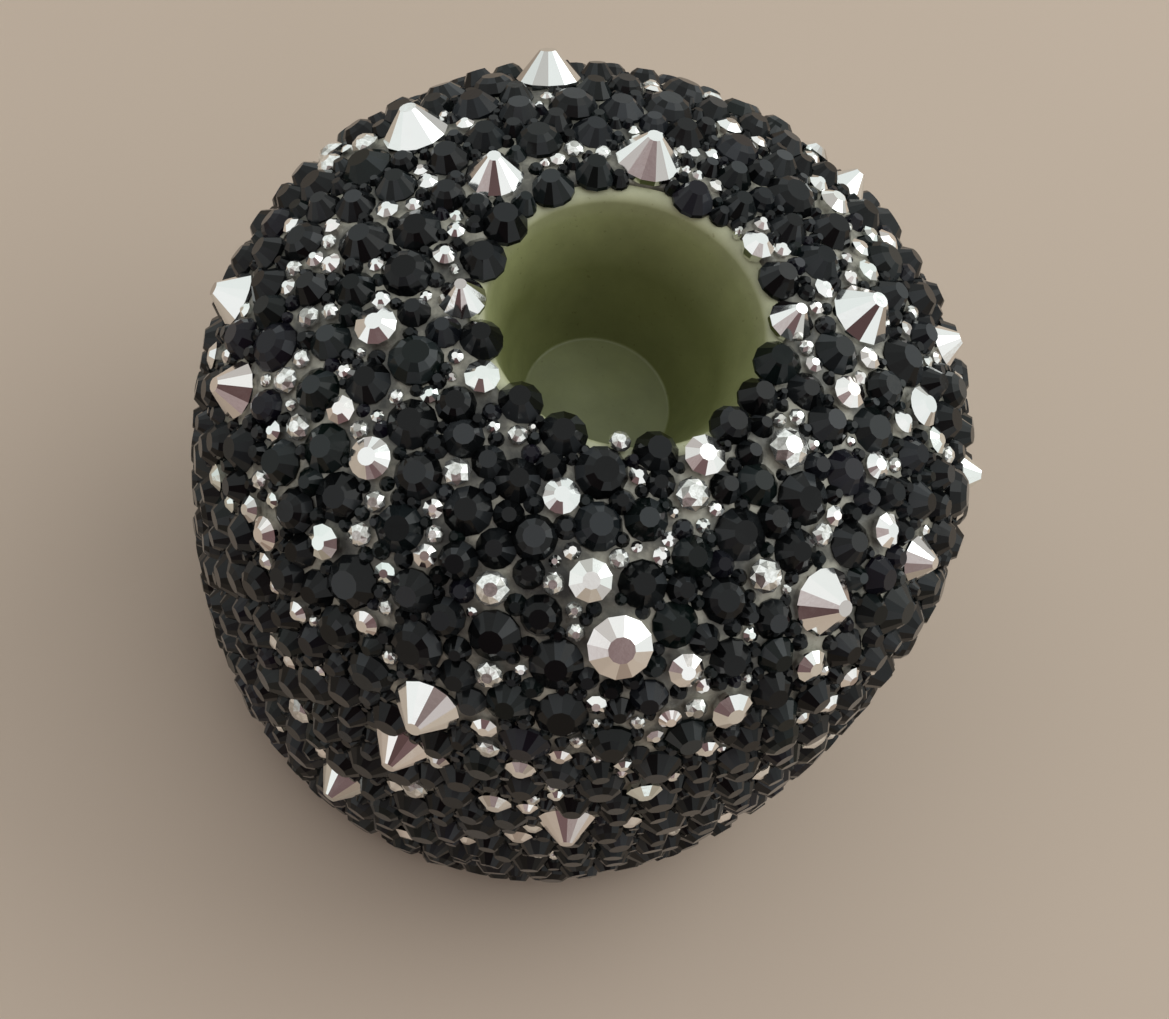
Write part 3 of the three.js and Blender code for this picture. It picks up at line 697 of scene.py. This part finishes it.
def turned(name, profile, segments):
    """A form of revolution: its profile is drawn point by point and spun about the axis."""
    deselect_all()
    start = profile[0]
    bpy.ops.mesh.primitive_plane_add(size=MM, location=(start[0], 0, start[1]))
    piece = bpy.context.active_object
    piece.name = name
    bpy.ops.object.transform_apply(location=True)
    bpy.ops.object.mode_set(mode="EDIT")
    bpy.ops.mesh.select_mode(type="VERT")
    bpy.ops.mesh.merge(type="CENTER")
    for (radius, height), (next_radius, next_height) in zip(profile, profile[1:]):
        step = (next_radius - radius, 0, next_height - height)
        bpy.ops.mesh.extrude_vertices_move(TRANSFORM_OT_translate={"value": step})
    bpy.ops.mesh.select_all(action="SELECT")
    bpy.ops.mesh.spin(steps=segments, angle=2 * math.pi, center=(0, 0, 0), axis=(0, 0, 1))
    bpy.ops.mesh.select_all(action="SELECT")
    bpy.ops.mesh.remove_doubles(threshold=TINY)
    bpy.ops.mesh.normals_make_consistent(inside=False)
    bpy.ops.object.mode_set(mode="OBJECT")
    return piece


def quarter_round(middle, across, up, start, end):
    """Points of an elliptical arc between two angles, without its first point."""
    turns = np.linspace(start, end, ROUND_STEPS + 1)[1:]
    return [(middle[0] + across * math.cos(t), middle[1] + up * math.sin(t)) for t in turns]


# Ceramic body and glue

def ceramic_profile():
    """From the middle of the underside round the foot, up the outside and down into the cup."""
    foot_outer = BASE_RADIUS - FOOT_INSET
    foot_inner = foot_outer - FOOT_WIDTH
    cup_floor = BODY_HEIGHT - CUP_DEPTH
    profile = [(0, FOOT_RECESS), (foot_inner - FOOT_ROUND, FOOT_RECESS)]
    profile += [(foot_inner, FOOT_RECESS - FOOT_ROUND), (foot_inner, FOOT_ROUND)]
    profile += quarter_round((foot_inner + FOOT_ROUND, FOOT_ROUND), FOOT_ROUND, FOOT_ROUND,
                             math.pi, 1.5 * math.pi)
    profile += [(foot_outer - FOOT_ROUND, 0)]
    profile += quarter_round((foot_outer - FOOT_ROUND, FOOT_ROUND), FOOT_ROUND, FOOT_ROUND,
                             -math.pi / 2, 0)
    profile += [(foot_outer, FOOT_HEIGHT - FOOT_ROUND), (foot_outer + FOOT_ROUND, FOOT_HEIGHT)]
    for distance in np.linspace(OUTLINE_LENGTH, 0, OUTLINE_STEPS + 1):
        profile.append(tuple(float(value) for value in outline_point(distance)))
    profile += quarter_round((LIP_RADIUS, BODY_HEIGHT - LIP_DROP), LIP_WIDTH, LIP_DROP,
                             math.pi / 2, math.pi)
    wall = Vector((MOUTH_RADIUS - CUP_FLOOR_RADIUS, CUP_DEPTH - LIP_DROP))
    corner = Vector((CUP_FLOOR_RADIUS, cup_floor))
    wall_end = corner + wall.normalized() * CUP_FILLET
    floor_edge = corner - Vector((CUP_FILLET, 0))
    wall_top = corner + wall
    for step in range(1, CUP_WALL_STEPS):
        profile.append(tuple(wall_top.lerp(wall_end, step / CUP_WALL_STEPS)))
    for step in range(ROUND_STEPS + 1):
        share = step / ROUND_STEPS
        first, last = wall_end.lerp(corner, share), corner.lerp(floor_edge, share)
        profile.append(tuple(first.lerp(last, share)))
    profile += [(CUP_FLOOR_RING, cup_floor), (0, cup_floor)]
    return profile


def make_ceramic_body():
    body = turned("glazed_body", ceramic_profile(), BODY_SEGMENTS)
    bpy.ops.object.shade_smooth_by_angle(angle=SMOOTH_ANGLE)
    return body


def make_glue_coat():
    """A lumpy skin of glue over the outside, thinning out at the lip and at the base."""
    distances = np.linspace(GLUE_EDGE, OUTLINE_LENGTH - GLUE_EDGE, GLUE_STEPS)
    from_edge = np.minimum(distances, OUTLINE_LENGTH - distances) - GLUE_EDGE
    lifts = GLUE_TOP * np.sqrt(np.clip(from_edge / GLUE_EASE, 0, 1))
    outside = [outline_point(distance, lift) for distance, lift in zip(distances, lifts)]
    inside = [outline_point(distance, GLUE_BOTTOM) for distance in distances[::-GLUE_BACK_STEP]]
    profile = [tuple(float(value) for value in point) for point in outside + inside]
    coat = turned("glue_coat", profile + profile[:1], GLUE_SEGMENTS)
    lumps = bpy.data.textures.new("glue_lumps", "CLOUDS")
    lumps.noise_scale = GLUE_LUMP_SIZE
    displace = coat.modifiers.new("lumps", "DISPLACE")
    displace.texture = lumps
    displace.strength = GLUE_LUMPS
    bpy.ops.object.modifier_apply(modifier=displace.name)
    bpy.ops.object.shade_smooth()
    return coat


# Cut stones

def cut_stone(name, sides, girdle, tiers, foot):
    """A flat-backed stone one unit across and one unit high, on a foot that may be narrower."""
    deselect_all()
    width, height = 1.0, girdle
    bpy.ops.mesh.primitive_cylinder_add(
        vertices=sides, radius=width / 2, depth=girdle, location=(0, 0, girdle / 2))
    stone = bpy.context.active_object
    stone.name = name
    bpy.ops.object.transform_apply(location=True)
    bpy.ops.object.mode_set(mode="EDIT")
    bpy.ops.mesh.select_mode(type="FACE")
    select_faces(stone, lambda face: face.normal.z < -LEVEL_FACE)
    bpy.ops.transform.resize(value=(foot, foot, 1))
    select_faces(stone, lambda face: face.normal.z > LEVEL_FACE)
    for diameter, end, turn in tiers:
        bpy.ops.mesh.extrude_region_move(TRANSFORM_OT_translate={"value": (0, 0, end - height)})
        bpy.ops.transform.resize(value=(diameter / width, diameter / width, 1))
        bpy.ops.transform.rotate(
            value=turn * 2 * math.pi / sides, orient_axis="Z", center_override=(0, 0, end))
        width, height = diameter, end
    bpy.ops.object.mode_set(mode="OBJECT")
    return stone


def cut_all_stones():
    """The patterns of each cut, by the name of the cut."""
    patterns = {}
    for cut, shapes in CUTS.items():
        foot = NARROW_FOOT if cut in NARROW_CUTS else 1.0
        patterns[cut] = [cut_stone(f"{cut}_{sides}", sides, girdle, tiers, foot)
                         for sides, girdle, tiers in shapes]
    return patterns


def random_axis():
    angle = rng.random() * 2 * math.pi
    return Vector((math.cos(angle), math.sin(angle), 0))


def glue_share(distance):
    """Share of the glue's depth under a stone: the glue thins out at the lip and at the base."""
    from_edge = min(distance, OUTLINE_LENGTH - distance) - GLUE_EDGE
    return min(max(from_edge / SEAT_EASE, 0), 1)


def stone_matrix(stone):
    """Seat of a stone: its own spin, a little tilt if it isn't a solid of its own, and its size."""
    _, down, outward = body_directions(stone.azimuth, stone.distance)
    lift = stone.foot * glue_share(stone.distance)
    foot = Vector(body_points(stone.azimuth, stone.distance, lift))
    height = stone.height + stone.foot - lift
    outward, down = Vector(outward), Vector(down)
    seat = Matrix((down, outward.cross(down), outward)).transposed()
    most_tilt = MOST_TILT if stone.leash else 0
    tilt = Matrix.Rotation(rng.random() * most_tilt, 3, random_axis())
    spin = Matrix.Rotation(rng.random() * 2 * math.pi, 3, "Z")
    size = Matrix.Diagonal((stone.diameter, stone.diameter, height))
    return Matrix.Translation(foot) @ (seat @ tilt @ spin @ size).to_4x4()


def set_stone(stone, patterns):
    """A copy of one pattern of the stone's cut, in its seat, with a tone for it and for each facet."""
    pattern = patterns[stone.cut][int(rng.integers(len(patterns[stone.cut])))]
    copy = pattern.copy()
    copy.data = pattern.data.copy()
    copy.data.transform(stone_matrix(stone))
    count = len(copy.data.polygons)
    for name, values in (("tone", np.full(count, rng.random())), ("facet", rng.random(count))):
        layer = copy.data.attributes.new(name, "FLOAT", "FACE")
        layer.data.foreach_set("value", values)
    bpy.context.scene.collection.objects.link(copy)
    return copy


def join_stones(name, stones, patterns):
    deselect_all()
    copies = [set_stone(stone, patterns) for stone in stones]
    for copy in copies:
        copy.select_set(True)
    bpy.context.view_layer.objects.active = copies[0]
    if len(copies) > 1:
        bpy.ops.object.join()
    piece = bpy.context.view_layer.objects.active
    piece.name = name
    piece.data.name = name
    return piece


# Materials

def new_material(name):
    material = bpy.data.materials.new(name)
    material.use_nodes = True
    tree = material.node_tree
    return material, tree, tree.nodes["Principled BSDF"]


def add_node(tree, kind, **values):
    """A node with its properties and, by socket name, its constant inputs."""
    node = tree.nodes.new(kind)
    for key, value in values.items():
        if key in node.inputs:
            node.inputs[key].default_value = value
        else:
            setattr(node, key, value)
    return node


def object_noise(tree, detail, scale=1.0, roughness=0.5):
    """A noise that stays fixed to the object."""
    place = add_node(tree, "ShaderNodeTexCoord")
    noise = add_node(tree, "ShaderNodeTexNoise", Scale=scale, Detail=detail, Roughness=roughness)
    tree.links.new(place.outputs["Object"], noise.inputs["Vector"])
    return noise


def ramp(tree, source, stops):
    """A colour ramp over a source socket."""
    node = add_node(tree, "ShaderNodeValToRGB")
    elements = node.color_ramp.elements
    while len(elements) < len(stops):
        elements.new(RAMP_MIDDLE)
    for element, (position, colour) in zip(elements, stops):
        element.position = position
        element.color = (*colour, 1)
    tree.links.new(source, node.inputs["Fac"])
    return node.outputs["Color"]


def spread(tree, source, low, high, source_range=NOISE_RANGE):
    """Maps a source socket to a range of values."""
    node = add_node(tree, "ShaderNodeMapRange")
    sockets = ("From Min", "From Max", "To Min", "To Max")
    for socket, value in zip(sockets, (*source_range, low, high)):
        node.inputs[socket].default_value = value
    tree.links.new(source, node.inputs["Value"])
    return node.outputs["Result"]


def blend(tree, kind, first, second, factor=1.0):
    """Mixes two colours, each a socket or a constant, by a factor that may be a socket too."""
    node = add_node(tree, "ShaderNodeMix", data_type="RGBA", blend_type=kind)
    for index, value in ((MIX_FACTOR, factor), (MIX_FIRST, first), (MIX_SECOND, second)):
        socket = node.inputs[index]
        if isinstance(value, bpy.types.NodeSocket):
            tree.links.new(value, socket)
        elif isinstance(value, tuple):
            socket.default_value = (*value, 1)
        else:
            socket.default_value = value
    return node.outputs[MIX_RESULT]


def bump(tree, shader, height, strength, distance):
    node = add_node(tree, "ShaderNodeBump", Strength=strength, Distance=distance)
    tree.links.new(height, node.inputs["Height"])
    tree.links.new(node.outputs["Normal"], shader.inputs["Normal"])


def attribute(tree, name):
    return add_node(tree, "ShaderNodeAttribute", attribute_name=name).outputs["Fac"]


def fine_wear_group():
    """Two soft noises that every surface shares: a haze for its gloss and a grain for its bump."""
    tree = bpy.data.node_groups.new("fine_wear", "ShaderNodeTree")
    tree.interface.new_socket("Scale", in_out="INPUT", socket_type="NodeSocketFloat")
    tree.interface.new_socket("Haze", in_out="OUTPUT", socket_type="NodeSocketFloat")
    tree.interface.new_socket("Grain", in_out="OUTPUT", socket_type="NodeSocketFloat")
    entry = add_node(tree, "NodeGroupInput")
    end = add_node(tree, "NodeGroupOutput")
    finer = add_node(tree, "ShaderNodeMath", operation="MULTIPLY")
    finer.inputs[1].default_value = GRAIN_PER_HAZE
    tree.links.new(entry.outputs["Scale"], finer.inputs[0])
    haze = object_noise(tree, HAZE_DETAIL)
    grain = object_noise(tree, GRAIN_DETAIL)
    tree.links.new(entry.outputs["Scale"], haze.inputs["Scale"])
    tree.links.new(finer.outputs["Value"], grain.inputs["Scale"])
    tree.links.new(haze.outputs["Fac"], end.inputs["Haze"])
    tree.links.new(grain.outputs["Fac"], end.inputs["Grain"])
    return tree


FINE_WEAR = fine_wear_group()


def wear(tree, shader, scale, gloss, strength, depth):
    """Haze on the gloss of a surface, between two roughnesses, and a fine grain in its bump."""
    group = add_node(tree, "ShaderNodeGroup", node_tree=FINE_WEAR)
    group.inputs["Scale"].default_value = scale
    tree.links.new(spread(tree, group.outputs["Haze"], *gloss), shader.inputs["Roughness"])
    bump(tree, shader, group.outputs["Grain"], strength, depth)


def jet_material():
    """Glossy black resin, some stones a touch green or violet, with random facets lightened to grey as
    painted glints.
    """
    material, tree, shader = new_material("jet_resin")
    colour = ramp(tree, attribute(tree, "tone"), JET_TONES)
    facets = ramp(tree, attribute(tree, "facet"), JET_FACET_GLINTS)
    tree.links.new(blend(tree, "ADD", colour, facets), shader.inputs["Base Color"])
    shader.inputs["Specular IOR Level"].default_value = JET_SPECULAR
    wear(tree, shader, **JET_WEAR)
    return material


def silver_material():
    """Mirror foil under clear resin, each stone with its own tint, and a few facets dimmed and tinted
    brownish as painted reflections of the brown floor and the room.
    """
    material, tree, shader = new_material("silver_foil")
    tint = ramp(tree, attribute(tree, "tone"), SILVER_TINTS)
    facets = ramp(tree, attribute(tree, "facet"), SILVER_FACET_REFLECTIONS)
    tree.links.new(blend(tree, "MULTIPLY", tint, facets), shader.inputs["Base Color"])
    shader.inputs["Metallic"].default_value = SILVER_METALLIC
    wear(tree, shader, **SILVER_WEAR)
    return material


def crystal_material():
    """Clear stones with a foil back: each small facet flashes lighter or darker."""
    material, tree, shader = new_material("clear_crystal")
    sparkle = ramp(tree, attribute(tree, "facet"), CRYSTAL_FACETS)
    grain = object_noise(tree, **CRYSTAL_GRAIN)
    flaws = ramp(tree, grain.outputs["Fac"], CRYSTAL_FLAWS)
    tree.links.new(blend(tree, "MULTIPLY", sparkle, flaws), shader.inputs["Base Color"])
    shader.inputs["Metallic"].default_value = CRYSTAL_METALLIC
    shader.inputs["Coat Weight"].default_value = CRYSTAL_COAT
    shader.inputs["Coat Roughness"].default_value = CRYSTAL_COAT_ROUGHNESS
    wear(tree, shader, **CRYSTAL_WEAR)
    return material


def glue_material():
    """Grey set glue, mottled from light grey to nearly black; the dark patches are painted shade for the
    gaps between the stones. Glossy where it pooled and dull where it dried thin.
    """
    material, tree, shader = new_material("set_glue")
    glue_patches = object_noise(tree, **GLUE_PATCHES)
    tree.links.new(ramp(tree, glue_patches.outputs["Fac"], GLUE_AND_GAP_SHADE), shader.inputs["Base Color"])
    wear(tree, shader, **GLUE_WEAR)
    return material


def glaze_material():
    """Olive green glaze, pale and thin on the lip, with a bare clay foot; the lighter upper wall and the
    darkening down into the cup are painted light and shade.
    """
    material, tree, shader = new_material("green_glaze")
    place = add_node(tree, "ShaderNodeTexCoord")
    height = add_node(tree, "ShaderNodeSeparateXYZ")
    tree.links.new(place.outputs["Object"], height.inputs["Vector"])
    # Painted shade: the glaze darkens with depth in the cup and lightens towards the rim
    depth = spread(tree, height.outputs["Z"], 0, 1, (BODY_HEIGHT - CUP_DEPTH, BODY_HEIGHT))
    glaze = ramp(tree, depth, GLAZE_AND_CUP_SHADE)
    clouds = object_noise(tree, **GLAZE_CLOUDS)
    glaze = blend(tree, "MULTIPLY", glaze, ramp(tree, clouds.outputs["Fac"], GLAZE_DRIFT))
    specks = object_noise(tree, **GLAZE_SPECKS)
    speckled = ramp(tree, specks.outputs["Fac"], GLAZE_SPECKLES)
    glaze = blend(tree, "MULTIPLY", glaze, speckled, SPECKLE_STRENGTH)
    bare = spread(tree, height.outputs["Z"], 1, 0, (CLAY_TOP, GLAZE_START))
    tree.links.new(blend(tree, "MIX", glaze, CLAY_COLOUR, bare), shader.inputs["Base Color"])
    wear(tree, shader, **GLAZE_WEAR)
    return material


def floor_material():
    material, tree, shader = new_material("pale_floor")
    drift = object_noise(tree, **FLOOR_DRIFT)
    tree.links.new(ramp(tree, drift.outputs["Fac"], FLOOR_COLOURS), shader.inputs["Base Color"])
    shader.inputs["Roughness"].default_value = FLOOR_ROUGHNESS
    return material


def dress(piece, material):
    """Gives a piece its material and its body."""
    piece.data.materials.clear()
    piece.data.materials.append(material)
    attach(piece, "root")


# Stage

def add_floor():
    deselect_all()
    bpy.ops.mesh.primitive_plane_add(size=FLOOR_SIZE)
    floor = bpy.context.active_object
    floor.name = "floor"
    floor.data.materials.append(floor_material())


def add_window():
    """Soft light from the back on the right."""
    light = bpy.data.lights.new("window", "AREA")
    light.shape = "DISK"
    light.size = WINDOW_SIZE
    light.energy = WINDOW_ENERGY
    light.color = WINDOW_COLOUR
    lamp = bpy.data.objects.new("window", light)
    lamp.location = WINDOW_PLACE
    lamp.rotation_mode = "QUATERNION"
    lamp.rotation_quaternion = (AIM - WINDOW_PLACE).to_track_quat("-Z", "Y")
    bpy.context.scene.collection.objects.link(lamp)


def add_world():
    """Bright soft room light, with a dim brownish patch on the side of the camera."""
    world = bpy.data.worlds.new("room")
    bpy.context.scene.world = world
    world.use_nodes = True
    tree = world.node_tree
    place = add_node(tree, "ShaderNodeTexCoord")
    towards_patch = add_node(tree, "ShaderNodeVectorMath", operation="DOT_PRODUCT")
    towards_patch.inputs[1].default_value = (0, -math.cos(DIM_ELEVATION), math.sin(DIM_ELEVATION))
    tree.links.new(place.outputs["Generated"], towards_patch.inputs[0])
    room = ramp(tree, towards_patch.outputs["Value"], ROOM_COLOURS)
    tree.links.new(room, tree.nodes["Background"].inputs["Color"])


def add_stage():
    add_floor()
    add_world()
    add_window()
    bpy.context.scene.view_settings.view_transform = "Standard"


# The whole object

def row_of(stone):
    """Number of the row, from 0, that a stone is joined to."""
    if stone.node.startswith("stone_row"):
        return int(stone.node.rsplit("_", 1)[1]) - 1
    return min(int(stone.distance / OUTLINE_LENGTH * ROW_COUNT), ROW_COUNT - 1)


def make_stones():
    """The silver stones that are solids of their own, one by one, and all others by row and kind."""
    patterns = cut_all_stones()
    stones = lay_out_stones()
    silver, crystal = silver_material(), crystal_material()
    materials = {"black_row": jet_material(), "silver_row": silver, "crystal_row": crystal}
    single = [stone for stone in stones if stone.node.startswith("silver_stone")]
    others = [stone for stone in stones if not stone.node.startswith("silver_stone")]
    for stone in single:
        piece = join_stones(stone.node.replace("silver_stone", "cut_silver"), [stone], patterns)
        dress(piece, crystal if stone.cut == "crystal" else silver)
        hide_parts(stone.node)
    for row in range(ROW_COUNT):
        in_row = [stone for stone in others if row_of(stone) == row]
        for name, cuts, slot in ROW_PIECES:
            chosen = [stone for stone in in_row if stone.cut in cuts]
            if not chosen:
                continue
            piece = join_stones(f"{name}_{row + 1:02d}", chosen, patterns)
            dress(piece, materials[name])
            if name == "black_row":
                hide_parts(f"stone_row_{row + 1:02d}")
    for pattern in [pattern for cuts in patterns.values() for pattern in cuts]:
        bpy.data.objects.remove(pattern)


def main():
    add_camera()
    body = make_ceramic_body()
    dress(body, glaze_material())
    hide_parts("ceramic_body")
    dress(make_glue_coat(), glue_material())
    make_stones()
    add_stage()


main()
